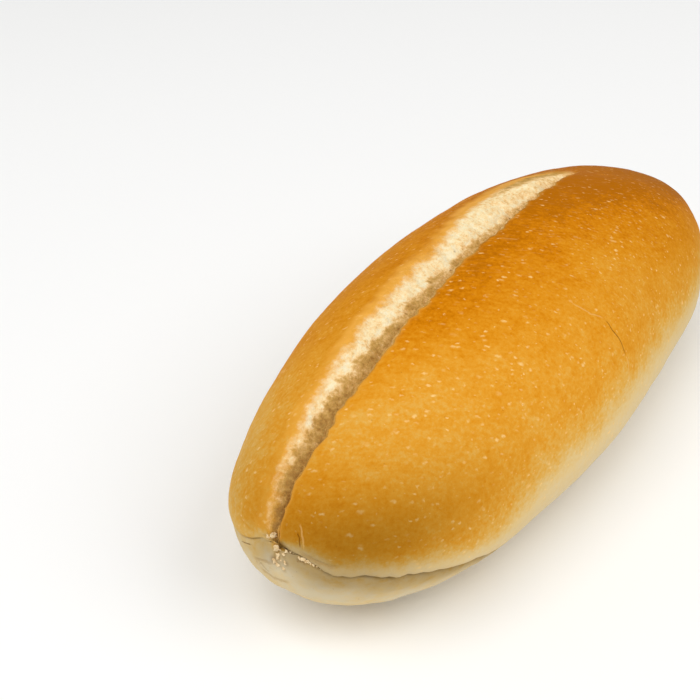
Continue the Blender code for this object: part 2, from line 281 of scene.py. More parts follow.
# The painted shadow under the overhanging lip, a dark band on the crumb: place, how far in from the shoulder
# it begins, both in millimetres, and how dark it is. The torn wall right under the lip gets less of this
# painted shade.
LIP_SHADOW = (
    (-72, 0.9, 0.72),
    (-62, 2.0, 0.62),
    (-36, 4.7, 0.51),
    (-6, 6.3, 0.44),
    (20, 4.9, 0.27),
    (38, 2.4, 0.18),
    (55, 0.9, 0.14),
)
LIP_SHADOW_BLUR = 0.5 * MM
LIP_SHADOW_LIMIT = 6
LIP_WALL_LIGHTER = 0.5
LIP_WALL_TOP = (0.1, 0.25)
LIP_WALL_FOOT = (0.6, 0.3)
# How far the torn crumb spreads up over the shoulder, and how far the gold beside it, in millimetres.
TEAR_SPREADS = (
    (-48, 0.0, 0.0),
    (-30, -1.1, -0.9),
    (-8, -1.9, -1.5),
    (6, 0.4, 1.3),
    (20, 3.2, 4.5),
    (38, 6.0, 8.5),
    (52, 4.5, 6.5),
)
GOLD_FRAYS = ((7 * MM, 1.6 * MM, 14), (2 * MM, 0.9 * MM, 15))
GOLD_FADE = (3.0 * MM, -1.2 * MM)
GOLD_SHARES = ((-66, 0.35), (-48, 0.60), (-28, 0.85))
# How toasted the crumb is along the slash, and how much more where it has spread over the shoulder.
TOAST_SHARES = ((-74, 0.16), (-66, 0.06), (-52, 0.0), (8, 0.0), (22, 0.10), (45, 0.24))
RIM_TOAST = 0.40
RIM_TOAST_SPAN = (12 * MM, 34 * MM)
RIM_SPAN = (-1 * MM, 3.5 * MM)

# Lines drawn on the skin, in millimetres: cracks are dark, folds are brown and soft, ridges are pale.
LINES = {
    "crack": (
        (
            (-3.6, -26.6, 35.7),
            (-3.4, -27.3, 34.9),
            (-3.5, -28.3, 33.8),
            (-3.3, -29.0, 32.9),
            (-3.0, -29.4, 32.2),
            (-3.0, -30.0, 31.3),
            (-3.2, -30.7, 30.1),
            (-3.2, -31.3, 28.7),
        ),
        ((-73.6, -7.4, 27.5), (-73.8, -8.1, 26.9), (-74.1, -8.3, 25.9), (-74.3, -8.4, 25.2)),
        ((-74.0, 5.2, 19.4), (-74.2, 4.7, 19.7), (-74.7, 3.0, 20.4), (-74.8, 2.2, 20.9)),
        ((-74.5, -4.6, 23.9), (-74.5, -5.6, 23.4), (-74.5, -6.3, 23.1), (-74.4, -7.3, 23.2)),
    ),
    "fold": (
        ((-75.0, 1.9, 18.1), (-75.3, -0.3, 18.8), (-75.4, -1.9, 19.4), (-75.4, -2.9, 19.8)),
        (
            (-75.1, 0.6, 16.6),
            (-75.3, -1.3, 16.4),
            (-75.2, -2.5, 15.8),
            (-75.1, -3.8, 16.0),
            (-75.2, -6.0, 16.8),
        ),
        (
            (-74.3, -8.4, 24.6),
            (-74.3, -9.3, 23.9),
            (-74.1, -10.8, 23.7),
            (-73.9, -12.1, 23.5),
            (-72.9, -15.3, 23.1),
        ),
        ((-74.7, -7.6, 22.2), (-74.5, -8.3, 22.5), (-74.4, -9.0, 22.5), (-74.3, -9.8, 22.4)),
    ),
    "ridge": (
        (
            (-7.8, -21.6, 40.0),
            (-6.6, -23.5, 38.6),
            (-6.0, -24.7, 37.6),
            (-4.2, -25.9, 36.4),
            (-3.6, -26.6, 35.7),
        ),
        ((-3.2, -31.3, 28.7), (-3.1, -31.8, 27.5), (-3.8, -32.5, 25.1), (-4.4, -33.0, 22.1)),
        ((-72.6, -7.4, 28.8), (-73.2, -8.2, 27.8), (-73.8, -8.8, 26.6), (-74.2, -9.2, 25.1)),
    ),
}
LINE_REACH = 1.6 * MM  # a line's share fades out to 0 at this distance
LINE_FAR = 4 * LINE_REACH
LINE_FADE_GAIN = 1.6
LINE_END_SHARE = 0.15
# Crumbs that stick to the foot below the hole, in millimetres: place, radius.
CRUMBS = (
    ((-74.5, -3.7, 22.9), 0.60),
    ((-74.8, -3.8, 21.6), 0.54),
    ((-75.0, -3.2, 20.5), 0.56),
    ((-75.0, -4.0, 20.1), 0.50),
    ((-74.9, -5.6, 20.9), 0.46),
    ((-75.1, -5.1, 19.6), 0.36),
    ((-74.6, -5.0, 22.2), 0.32),
    ((-74.9, -4.6, 21.0), 0.30),
    ((-73.9, -2.5, 24.8), 0.50),
    ((-74.2, -1.5, 24.2), 0.34),
    ((-74.4, -5.4, 23.1), 0.34),
    ((-74.4, -6.4, 23.4), 0.26),
    ((-74.3, -8.2, 22.9), 0.34),
    ((-74.3, -8.7, 23.0), 0.28),
    ((-74.2, -9.2, 22.9), 0.40),
    ((-74.1, -9.7, 22.8), 0.32),
    ((-74.0, -10.2, 22.6), 0.30),
    ((-73.9, -10.7, 22.4), 0.26),
    ((-73.8, -11.2, 22.1), 0.24),
    ((-73.7, -11.7, 21.8), 0.18),
)
CRUMB_LUMP_SIZE = 0.5 * MM
CRUMB_LUMP_SHARE = 0.75
CRUMB_SEED_STEP = 5.0
# Toasted spots at the slash's far end, in the same way.
TOASTED = (
    ((51.0, 13.6, 33.0), 0.9),
    ((38.7, 13.4, 36.2), 0.6),
    ((45.0, 13.0, 35.0), 0.5),
    ((28.2, 12.4, 38.9), 0.5),
)
# Painted shade darkens the foot round each loose crumb. The toasted spots are darker in the same way.
STAIN_SHARE = 1.5  # how far a stain reaches, as a share of the crumb's or spot's radius
STAIN_POWER = 4


def by_end(u, near, far):
    """The near end's value for u below 0, and the far end's above."""
    return near if u < 0 else far


def taper(u, power, root=2.0):
    """Falls from 1 in the middle to 0 at a tip, round at the tip."""
    return max(0.0, 1 - abs(u) ** power) ** (1 / root)


def raised(base, power):
    """A power that keeps cosines of a right angle at 0."""
    return np.maximum(base, 0.0) ** power


def ease(value, start, end):
    """Goes smoothly from 0 at start to 1 at end. Either of them may be the larger."""
    t = np.clip((value - start) / (end - start), 0, 1)
    return t * t * (3 - 2 * t)


def spline(points, count):
    """A smooth curve through the points, Catmull-Rom, read at count even steps."""
    points = np.array(points)
    knots = np.vstack([2 * points[0] - points[1], points, 2 * points[-1] - points[-2]])
    at = np.linspace(0, len(points) - 1, count)
    start = np.minimum(at.astype(int), len(points) - 2)
    t = (at - start)[:, None]
    a, b, c, d = (knots[start + k] for k in range(4))
    return 0.5 * (
        2 * b
        + (c - a) * t
        + (2 * a - 5 * b + 4 * c - d) * t**2
        + (3 * b - a - 3 * c + d) * t**3
    )


def bumps(points, size, seed, octaves=2):
    """Smooth noise at each point, about -1 to 1, with swells of this size. The seed picks the pattern."""
    moved = points / size + seed * np.array(BUMP_SEED_STEP)
    return np.array([noise.fractal(Vector(p), 1.0, 2.0, octaves) for p in moved])


def uneven(points, rows):
    """The sum of several noises, from rows of size, height, seed and perhaps octaves."""
    return sum(height * bumps(points, size, *seed) for size, height, *seed in rows)


def read_rows(at, rows):
    """The later columns of a table at each place. Its rows begin with a place in millimetres."""
    places, *columns = np.array(rows).T
    read = [np.interp(at, places * MM, column) for column in columns]
    return read if len(read) > 1 else read[0]


def near(points, place, radii, power=2):
    """1 at a place, falling to 0 outside these radii. Both are in millimetres."""
    apart = np.linalg.norm((points / MM - place) / radii, axis=1)
    return np.exp(-(apart**power))


def cell_spots(points, spacing, seed):
    """Distance to the nearest of scattered spots, and a random number from 0 to 1 for that spot."""
    moved = points / spacing + seed * np.array(CELL_SEED_STEP)
    distances = np.empty(len(moved))
    numbers = np.empty(len(moved))
    for index, p in enumerate(moved):
        apart, places = noise.voronoi(Vector(p))
        distances[index] = apart[0]
        numbers[index] = noise.cell(places[0] * CELL_NUMBER_SCALE)
    return distances * spacing, numbers * 0.5 + 0.5


class Section:
    """One upright cut across the loaf at u, which runs from -1 at the near tip to 1 at the far one."""

    def __init__(self, u):
        self.u = u
        self.x = u * LENGTH / 2
        self.plan = taper(u, *by_end(u, NEAR_PLAN, FAR_PLAN))
        self.centre = BEND[0] * u + BEND[1] * u**2
        self.broad = BROAD_HALF_WIDTH * self.plan * (1 + BROAD_TAPER * u)
        self.narrow = NARROW_HALF_WIDTH * self.plan * (1 + NARROW_TAPER * u)
        tip = by_end(u, NEAR_TIP_HEIGHT, FAR_TIP_HEIGHT)
        self.equator = EQUATOR_HEIGHT + (tip - EQUATOR_HEIGHT) * abs(u) ** TIP_RISE_POWER
        crown_power = by_end(u, NEAR_CROWN_POWER, FAR_CROWN_POWER)
        crown = HEIGHT * (1 - NEAR_CROWN_EXTRA * u) - self.equator
        self.rise = crown * taper(u, crown_power)
        keel = taper(u, by_end(u, NEAR_KEEL_POWER, FAR_KEEL_POWER))
        lowest = self.equator - (self.equator + BASE_CUT) * keel
        self.floor = max(0.0, lowest)
        pressed = (max(0.0, -lowest) / BASE_CUT) ** 0.5
        self.base_share = END_BASE_SHARE + (BASE_SHARE - END_BASE_SHARE) * pressed
        self.draw_outline()

    def draw_outline(self):
        """The outline from the middle of the base, round the broad side, crown and narrow side, and back."""
        up = np.linspace(0, np.pi / 2, ARC_STEPS)
        down = up[::-1]
        broad_half = self.half(up, down, self.broad, BROAD_DOME_POWER)
        narrow_half = self.half(up, down, self.narrow, NARROW_DOME_POWER)
        broad_half[:, 0] *= -1
        self.points = np.vstack([broad_half, narrow_half[-2::-1]])
        self.points[:, 0] += self.centre
        steps = np.hypot(*np.diff(self.points, axis=0).T)
        self.along = np.concatenate([[0.0], np.cumsum(steps)])
        self.crown_index = len(broad_half) - 1
        self.broad_corner = self.along[ARC_STEPS // 4 - 1]
        self.narrow_corner = self.along[-(ARC_STEPS // 4)]

    def half(self, up, down, width, dome_power):
        """Half an outline, from the middle of the base to the crown, on the +Y side."""
        base = self.base_share * width
        depth = self.equator - self.floor
        flank_y = base + (width - base) * raised(np.cos(down), 2 / FLANK_POWER)
        flank_z = self.equator - depth * raised(np.sin(down), 2 / FLANK_POWER)
        dome_y = width * raised(np.cos(up), 2 / dome_power)
        dome_z = self.equator + self.rise * raised(np.sin(up), 2 / dome_power)
        flat_y = np.linspace(0, base, ARC_STEPS // 4)[:-1]
        flat_z = np.full_like(flat_y, self.floor)
        y = np.concatenate([flat_y, flank_y, dome_y[1:]])
        z = np.concatenate([flat_z, flank_z, dome_z[1:]])
        return np.stack([y, z], axis=1)

    def at_height(self, z, side):
        """Distance along the outline at which one side reaches a height."""
        if side < 0:
            part = slice(ARC_STEPS // 4, self.crown_index + 1)
            return np.interp(z, self.points[part, 1], self.along[part])
        part = slice(self.crown_index, len(self.points) - ARC_STEPS // 4)
        return np.interp(-z, -self.points[part, 1], self.along[part])

    def at_offset(self, y):
        """Distance along the outline at which the crust is this far from the centre line."""
        first = np.argmin(self.points[:, 0])
        last = np.argmax(self.points[:, 0])
        part = slice(first, last + 1)
        return np.interp(self.centre + y, self.points[part, 0], self.along[part])

    def place(self, along, lift):
        """Points at distances along the outline, moved out by lift."""
        step = self.along[-1] / TANGENT_STEPS
        here, before, after = (
            np.stack([np.interp(a, self.along, self.points[:, k]) for k in (0, 1)], axis=1)
            for a in (along, along - step, along + step)
        )
        tangent = after - before
        tangent /= np.maximum(np.linalg.norm(tangent, axis=1, keepdims=True), SMALLEST_STEP)
        outward = np.stack([-tangent[:, 1], tangent[:, 0]], axis=1)
        return here + outward * lift[:, None]


def slash_strength(u):
    """1 where the slash is widest, falling to the near tip's share and to 0 at its far end."""
    span = SLASH_NEAR_SPAN if u < SLASH_PEAK else SLASH_FAR_SPAN
    return max(0.0, 1 - ((u - SLASH_PEAK) / span) ** 2)


def lip_teeth(x):
    """How far the ragged lip stands out over the slash at x."""
    return sum(
        reach * noise.noise(Vector((x / length, length / MM, 0.0))) * NOISE_GAIN
        for length, reach in LIP_TEETH
    )


def slash_rails(section):
    """Distances along the outline of the lip and the shoulder, and the slash's depth between them."""
    u = section.u
    closing = section.plan * (1 + TIP_SLASH_TAPER) / (section.plan + TIP_SLASH_TAPER)
    wave = sum(np.sin(2 * np.pi * section.x / length + length / MM) for length in LIP_WAVE_LENGTHS)
    strength = slash_strength(u)
    offset = LIP_PATH[0] + LIP_PATH[1] * u + LIP_PATH[2] * u**2 + LIP_WAVE * wave * strength
    offset += lip_teeth(section.x) * min(1.0, SLASH_OPENING_RATE * strength)
    width = max(SLASH_WIDTH * strength, 2 * CREASE_HALF_GAP) * closing
    lip = section.at_offset(offset * closing)
    near_tip = NEAR_DEPTH_SHARE + (1 - NEAR_DEPTH_SHARE) * strength
    depth = SLASH_DEPTH * closing * (near_tip if u < SLASH_PEAK else strength)
    return lip, lip + width, depth


def crease_height(section, first_drop):
    """How high a crease runs above the tray at a section."""
    run = section.x + LENGTH / 2
    drop = first_drop * (1 - np.exp(-run / CREASE_DROP_REACH))
    height = NEAR_TIP_HEIGHT - drop - CREASE_SLOPE * run - CREASE_CURVE * run**2
    over_floor = height - CREASE_FLOOR
    level = CREASE_FLOOR + (over_floor + np.hypot(over_floor, CREASE_FLOOR_BLEND)) / 2
    return max(level, section.floor + CREASE_LEAST_SHARE * (section.equator - section.floor))


def crease_teeth(section, along):
    """How far the ragged lower edge of the crust stands up at its crease."""
    y = section.place(np.array([along]), np.zeros(1))[0][0]
    return sum(
        reach * noise.noise(Vector((section.x / length, y / length, length / MM))) * NOISE_GAIN
        for length, reach in CREASE_TEETH
    )


def crease_strength(section, length, full):
    """How open a crease is, from full near the tip to 0 at its length."""
    run = (section.x + LENGTH / 2) / length
    closing = min(1.0, section.along[-1] / TIP_CREASE_PERIMETER)
    return full * closing * max(0.0, 1 - run**2) ** 1.5


def crease_lane(middle, strength, scale):
    """The crease's own columns, from foot to crust, as (along, lift)."""
    plain = np.linspace(-CREASE_HALF_GAP, CREASE_HALF_GAP, CREASE_COLUMNS) * scale
    open_path = spline(CREASE_PATH, CREASE_COLUMNS)
    along = plain * (1 - strength) + open_path[:, 0] * strength
    return middle + along, open_path[:, 1] * strength


def slash_lane(lip, shoulder, depth, strength):
    """The slash's columns, from lip to shoulder, as (along, lift)."""
    path = spline(SLASH_PATH, SLASH_COLUMNS)
    plain = np.linspace(0, 1, SLASH_COLUMNS)
    open_share = min(1.0, SLASH_OPENING_RATE * strength)
    across = plain * (1 - open_share) + path[:, 0] * open_share
    return lip + (shoulder - lip) * across, -depth * path[:, 1]


def inner_columns(start, end, count):
    """Distances between two rails, without the rails themselves."""
    return np.linspace(start, end, count + 2)[1:-1]


def swell_lift(section, along):
    """How far the dough's unevenness moves points of a plain outline."""
    spots = section.place(along, np.zeros_like(along))
    side = np.sign(spots[:, 0] - section.centre)
    lift = np.zeros_like(along)
    for x, height, swell_side, radius, rise in SWELLS:
        apart = np.hypot(section.x - x, spots[:, 1] - height)
        lift += rise * np.exp(-((apart / radius) ** 2)) * np.clip(side * swell_side, 0, 1)
    return lift * np.clip(np.abs(spots[:, 0] - section.centre) / SWELL_FADE, 0, 1)


def foot_share(section, z):
    """1 where the foot stands out most, below the near tip, and 0 on the tray and on the crust."""
    if section.u > 0:
        return np.zeros_like(z)
    share = np.clip(z / NEAR_TIP_HEIGHT, 0, 1) ** FOOT_LOWNESS
    return np.sin(np.pi * share) * (1 - section.plan) ** FOOT_REACH_POWER


def loft_section(u):
    """One ring of the loaf as a dict of columns: its points, and what each lies beside."""
    section = Section(u)
    perimeter = section.along[-1]
    lip, shoulder, depth = slash_rails(section)
    scale = min(1.0, perimeter / TIP_CREASE_PERIMETER)
    broad_crease = section.at_height(crease_height(section, BROAD_CREASE_DROP), -1)
    narrow_crease = section.at_height(crease_height(section, NARROW_CREASE_DROP), 1)
    broad_strength = crease_strength(section, BROAD_CREASE_LENGTH, BROAD_CREASE_STRENGTH)
    narrow_strength = crease_strength(section, NARROW_CREASE_LENGTH, NARROW_CREASE_STRENGTH)
    broad_crease += crease_teeth(section, broad_crease) * broad_strength * scale

    broad_along, broad_lift = crease_lane(broad_crease, broad_strength, scale)
    turned_along, narrow_lift = crease_lane(0.0, narrow_strength, scale)
    narrow_along = narrow_crease - turned_along[::-1]
    strength = slash_strength(u)
    slash_along, slash_lift = slash_lane(lip, shoulder, depth, strength)

    broad_dome = inner_columns(broad_along[-1], lip, BROAD_DOME_COLUMNS)
    narrow_dome = inner_columns(shoulder, narrow_along[0], NARROW_DOME_COLUMNS)
    ear = EAR_HEIGHT * strength * scale
    ear_lift = ear * np.exp(-(((lip - broad_dome) / EAR_REACH) ** 2))
    bulge = CREASE_BULGE * np.exp(-(((broad_dome - broad_crease) / CREASE_BULGE_REACH) ** 2))
    far_bulge = CREASE_BULGE * np.exp(-(((narrow_crease - narrow_dome) / CREASE_BULGE_REACH) ** 2))
    lip_share = np.linspace(1, 0, SLASH_COLUMNS) ** 2

    below = BASE_COLUMNS + FOOT_COLUMNS
    along = np.concatenate(
        [
            np.linspace(0.0, section.broad_corner, BASE_COLUMNS + 1)[1:],
            inner_columns(section.broad_corner, broad_along[0], FOOT_COLUMNS),
            broad_along,
            broad_dome,
            slash_along,
            narrow_dome,
            narrow_along,
            inner_columns(narrow_along[-1], section.narrow_corner, FOOT_COLUMNS),
            np.linspace(section.narrow_corner, perimeter, BASE_COLUMNS + 1),
        ]
    )
    lift = np.concatenate(
        [
            np.zeros(below),
            broad_lift,
            ear_lift + bulge * broad_strength,
            slash_lift + ear * lip_share,
            far_bulge * narrow_strength,
            narrow_lift[::-1],
            np.zeros(below + 1),
        ]
    )
    ring = section.place(along, lift + swell_lift(section, along))
    share = foot_share(section, ring[:, 1])
    columns = len(along)
    index = np.arange(columns)
    first_slash = below + CREASE_COLUMNS + BROAD_DOME_COLUMNS
    last_slash = first_slash + SLASH_COLUMNS - 1
    first_foot = last_slash + NARROW_DOME_COLUMNS + CREASE_COLUMNS + 1
    on_broad = index < (first_slash + last_slash) / 2
    steps_up = np.where(on_broad, index - below, first_foot - 1 - index)
    return {
        "x": section.x - FOOT_REACH * share,
        "y": ring[:, 0] + FOOT_DRIFT * share,
        "z": np.maximum(ring[:, 1], 0.0),
        "across": np.clip((index - first_slash) / (last_slash - first_slash), -0.02, 1.02),
        "past_lip": along - lip,
        "past_shoulder": along - shoulder,
        "slash_open": np.full(columns, min(1.0, SLASH_OPENING_RATE * strength)),
        "over_crease": np.where(on_broad, along - broad_crease, narrow_crease - along),
        "crease_share": steps_up / (CREASE_COLUMNS - 1),
        "crease_open": np.where(on_broad, broad_strength, narrow_strength),
    }


def station_places():
    """Places along the loaf, chosen so that the rings lie evenly apart on the surface."""
    u = -np.cos(np.linspace(0, np.pi, STATION_TRIALS))
    girth = np.array([taper(a, *by_end(a, NEAR_PLAN, FAR_PLAN)) for a in u]) * BROAD_HALF_WIDTH
    steps = np.hypot(np.diff(u) * LENGTH / 2, np.diff(girth) * GIRTH_STEP_SHARE)
    travelled = np.concatenate([[0.0], np.cumsum(steps)])
    return np.interp(np.linspace(0, travelled[-1], STATIONS + 2)[1:-1], travelled, u)


def loaf_fields():
    """Every vertex's place and what it lies beside: the near tip, each ring in turn, and the far tip."""
    rings = [loft_section(u) for u in station_places()]
    tips = (
        (-LENGTH / 2, -BEND[0] + BEND[1], NEAR_TIP_HEIGHT),
        (LENGTH / 2, BEND[0] + BEND[1], FAR_TIP_HEIGHT),
    )
    fields = {}
    for name in rings[0]:
        middle = np.concatenate([ring[name] for ring in rings])
        ends = (np.mean(rings[0][name]), np.mean(rings[-1][name]))
        fields[name] = np.concatenate([[ends[0]], middle, [ends[1]]])
    for axis, name in enumerate("xyz"):
        fields[name][0] = tips[0][axis]
        fields[name][-1] = tips[1][axis]
    return fields, len(rings[0]["x"])


def loaf_faces(columns):
    """Quads between neighbouring rings, and fans of triangles at the tips."""
    faces = []
    last = 1 + STATIONS * columns
    for column in range(columns):
        beside = (column + 1) % columns
        faces.append((0, 1 + column, 1 + beside))
        for station in range(STATIONS - 1):
            here = 1 + station * columns
            after = here + columns
            faces.append((here + column, after + column, after + beside, here + beside))
        here = last - columns
        faces.append((here + column, last, here + beside))
    return faces


def relief(points, fields):
    """How far each vertex moves out along its normal, for swells, skin, crumb and folds."""
    crumb = fields["crumb"]
    drawn_out = points / CRUMB_STRETCH
    moved = uneven(points, DOUGH_SWELLS)
    moved += uneven(points, SKIN_RIPPLES) * (1 - crumb)
    moved += uneven(drawn_out, CRUMB_LUMPS) * crumb
    moved += uneven(points / FOOT_FOLD_STRETCH, FOOT_FOLDS) * fields["foot"]
    apart, number = cell_spots(drawn_out, PIT_SPACING, PIT_SEED)
    pits = ease(apart, *PIT_SLOPE) * (number > NO_PIT_SHARE)
    return moved - PIT_DEPTH * pits * crumb * (1 - SHALLOW_PITS * ease(fields["across"], *SHALLOW_SPAN))


def broad_share(points):
    """1 on the broad side, and what the narrow side's shallow crease shows on the other."""
    return NARROW_CREASE_LOOK + (1 - NARROW_CREASE_LOOK) * ease(points[:, 1], *BROAD_SIDE_SPAN)


def baking(points, fields):
    """How far the oven has browned each vertex, from 0 to 1."""
    x, z = points[:, 0], points[:, 2]
    bake = read_rows(z + NEAR_BAKE_DROP * ease(x, *NEAR_BAKE_SPAN), BAKE_BY_HEIGHT)
    reach, change = read_rows(x, LIP_BAKE)
    by_lip = np.exp(-((fields["past_lip"] / (reach * MM)) ** 2)) * fields["slash_open"]
    bake += change * by_lip * ease(z, *LIP_BAKE_HEIGHTS)
    spots = sum(change * near(points, place, radii) for place, radii, change in BAKE_SPOTS)
    bake += spots * ease(z, *BAKE_SPOT_HEIGHTS)
    bake += uneven(points, BAKE_PATCHES) * ease(z, *BAKE_PATCH_HEIGHTS)
    above = ease(fields["over_crease"], *CREASE_PALE_SPAN) * broad_share(points)
    above *= ease(fields["crease_open"], 0.0, CREASE_PALE_OPENING)
    bake += (CREASE_PALE_BAKE - bake) * above * CREASE_PALE_SHARE
    bake += TRAY_BAKE * ease(z, *TRAY_HEIGHTS) * (TRAY_EVEN_SHARE + uneven(points, TRAY_PATCHES))
    # Browner just below the crease, partly as painted shade.
    by_crease = ease(fields["over_crease"], -FOOT_BAKE_AND_SHADE_REACH, 0.0)
    below = FOOT_BAKE_AND_SHADE[0] + (FOOT_BAKE_AND_SHADE[1] - FOOT_BAKE_AND_SHADE[0]) * by_crease + uneven(points, FOOT_PATCHES)
    return bake + (below - bake) * fields["foot"]


def add_slash_masks(points, fields):
    """Adds where the crumb is torn and toasted, where painted shadow darkens it under the lip, and the gold
    beside it.
    """
    x = points[:, 0]
    across = fields["across"]
    past_shoulder = fields["past_shoulder"]
    opened = ease(fields["slash_open"], 0.0, SLASH_FULLY_OPEN)
    past_lip = ease(across, 0.0, LIP_EDGE_SHARE) * opened
    fields["torn"] = past_lip * ease(past_shoulder, *TORN_END)
    fields["torn_relief"] = past_lip * ease(past_shoulder, *TORN_RELIEF_END)
    fields["crumb"] = past_lip * ease(past_shoulder, *LUMPS_END)
    fields["lip_edge"] = np.exp(-((fields["past_lip"] / LIP_EDGE_WIDTH) ** 2)) * opened
    start, shade = read_rows(x, LIP_SHADOW)
    into_lip_shadow = (-past_shoulder - start * MM) / LIP_SHADOW_BLUR
    fields["into_lip_shadow"] = np.clip(into_lip_shadow, -LIP_SHADOW_LIMIT, LIP_SHADOW_LIMIT)
    on_wall = ease(across, *LIP_WALL_TOP) * ease(across, *LIP_WALL_FOOT)
    fields["lip_shadow_share"] = shade * (1 - LIP_WALL_LIGHTER * on_wall)
    tear_spread, gold_spread = read_rows(x, TEAR_SPREADS)
    fields["past_tear"] = past_shoulder - tear_spread * MM
    past_gold = past_shoulder - gold_spread * MM - uneven(points, GOLD_FRAYS)
    fields["gold"] = ease(past_gold, *GOLD_FADE) * read_rows(x, GOLD_SHARES) * fields["torn"]
    on_rim = ease(x, *RIM_TOAST_SPAN) * ease(past_shoulder, *RIM_SPAN)
    fields["toast"] = read_rows(x, TOAST_SHARES) + RIM_TOAST * on_rim


def add_crease_masks(points, fields):
    """Adds the pale foot, and the painted shadow in the crease and under the crust's edge that divides it
    from the crust.
    """
    share, opening, over_crease = (fields[name] for name in ("crease_share", "crease_open", "over_crease"))
    fields["foot"] = ease(share, *FOOT_EDGE) * ease(opening, 0.0, FOOT_OPENING)
    crease_shadow = np.exp(-(((share - GROOVE_MIDDLE) / GROOVE_WIDTH) ** 2)) * ease(opening, 0.0, GROOVE_OPENING)
    reach = read_rows(points[:, 0], UNDER_CRUST_REACHES) * MM
    under_crust = np.exp(-((over_crease / reach) ** 2)) * (over_crease < 0)
    under_crust *= UNDER_CRUST_SHADE * broad_share(points) * fields["foot"]
    fields["crease_shadow"] = np.max([crease_shadow, under_crust, near(points, HOLE_PLACE, HOLE_RADIUS)], axis=0)


def add_skin_masks(points, fields):
    """Adds where the skin is streaked and flecked, where it is dull brown, and where crumbs and toasted
    spots darken it.

    The dull brown low on the near end and the darkening round the crumbs are painted shade.
    """
    x, z = points[:, 0], points[:, 2]
    foot = fields["foot"]
    fields["streaked"] = ease(x, *STREAKED_SPAN) * ease(z, *STREAKED_HEIGHTS)
    fields["flecked"] = ease(z, *FLECKED_HEIGHTS) * (1 - FEWER_ON_FOOT * foot)
    shade_and_dull = sum(share * near(points, place, radii) for place, radii, share in SHADE_AND_DULL_SPOTS)
    fields["shade_and_dull"] = shade_and_dull * (1 - foot)
    # Painted shade round each crumb, and the toasted spots.
    stains = [near(points, at, radius * STAIN_SHARE, STAIN_POWER) for at, radius in CRUMBS + TOASTED]
    fields["shade_and_toast"] = np.max(stains, axis=0)


def add_lines(points, normals, fields):
    """Adds the signed distance to the nearest line of each kind, and how strongly the line is drawn."""
    for kind, lines in LINES.items():
        nearest = np.full(len(points), LENGTH)
        side = np.ones(len(points))
        share = np.zeros(len(points))
        for line in lines:
            path = np.array(line) * MM
            lengths = np.linalg.norm(np.diff(path, axis=0), axis=1)
            for k, length in enumerate(lengths):
                step = path[k + 1] - path[k]
                t = np.clip((points - path[k]) @ step / length**2, 0, 1)
                off = points - path[k] - t[:, None] * step
                apart = np.linalg.norm(off, axis=1)
                closer = apart < nearest
                nearest = np.where(closer, apart, nearest)
                turn = np.sum(np.cross(step, off) * normals, axis=1)
                side = np.where(closer, np.where(turn < 0, -1, 1), side)
                travelled = (lengths[:k].sum() + t * length) / lengths.sum()
                fade = np.clip(np.minimum(travelled, 1 - travelled) / LINE_END_SHARE, 0, 1)
                share = np.where(closer, fade, share)
        fields[kind + "_side"] = side * np.minimum(nearest, LINE_FAR)
        fields[kind + "_share"] = share * np.clip(LINE_FADE_GAIN * (1 - nearest / LINE_REACH), 0, 1)


# What the loaf's material reads of each vertex.
MASKS = ("bake", "shade_and_dull", "streaked", "flecked", "torn", "past_tear", "gold", "into_lip_shadow", "lip_shadow_share")
MASKS += ("toast", "crease_shadow", "lip_edge", "torn_relief", "shade_and_toast")
MASKS += tuple(kind + part for kind in LINES for part in ("_side", "_share"))


def make_loaf():
    """The roll as one mesh, with its relief and with the masks that its material reads."""
    fields, columns = loaf_fields()
    points = np.stack([fields[name] for name in "xyz"], axis=1)
    middle = (points.min(axis=0) + points.max(axis=0)) / 2
    points -= (middle[0], middle[1], 0.0)
    add_slash_masks(points, fields)
    add_crease_masks(points, fields)
    add_skin_masks(points, fields)
    mesh = bpy.data.meshes.new("loaf")
    mesh.from_pydata(points.tolist(), [], loaf_faces(columns))
    mesh.update()
    normals = np.zeros(len(points) * 3, np.float32)
    mesh.vertices.foreach_get("normal", normals)
    moved = points + normals.reshape(-1, 3) * relief(points, fields)[:, None]
    moved[:, 2] = np.maximum(moved[:, 2], 0.0)
    mesh.vertices.foreach_set("co", moved.astype(np.float32).ravel())
    fields["bake"] = baking(points, fields)
    add_lines(moved, normals.reshape(-1, 3), fields)
    for name in MASKS:
        attribute = mesh.attributes.new(name, "FLOAT", "POINT")
        attribute.data.foreach_set("value", fields[name].astype(np.float32))
    mesh.update()
    mesh.shade_smooth()
    loaf = bpy.data.objects.new("loaf", mesh)
    bpy.context.scene.collection.objects.link(loaf)
    return loaf


def colour(code):
    """An sRGB hex colour as linear red, green, blue and alpha."""
    shares = [int(code[k : k + 2], 16) / 255 for k in (1, 3, 5)]
    linear = [s / 12.92 if s <= 0.04045 else ((s + 0.055) / 1.055) ** 2.4 for s in shares]
    return (*linear, 1.0)


def shown(sockets, key):
    """The socket at a place in the list, or else the first one in use with this name, or with any name."""
    if isinstance(key, int):
        return sockets[key]
    return next(s for s in sockets if s.enabled and key in (s.name, None))


def add(tree, kind, inputs=None, **settings):
    """Adds a node with its settings. An input takes a value, or a node or (node, output name) to link."""
    node = tree.nodes.new("ShaderNode" + kind)
    for name, value in settings.items():
        setattr(node, name, value)
    for key, value in (inputs or {}).items():
        socket = shown(node.inputs, key)
        if isinstance(value, bpy.types.Node):
            value = (value, None)
        if isinstance(value, tuple) and isinstance(value[0], bpy.types.Node):
            tree.links.new(shown(value[0].outputs, value[1]), socket)
        else:
            socket.default_value = value
    return node


def set_ramp(node, stops):
    """Gives a colour ramp its (place, hex colour) stops."""
    ramp = node.color_ramp
    ramp.elements[0].position, ramp.elements[0].color = stops[0][0], colour(stops[0][1])
    ramp.elements[1].position, ramp.elements[1].color = stops[-1][0], colour(stops[-1][1])
    for place, code in stops[1:-1]:
        ramp.elements.new(place).color = colour(code)


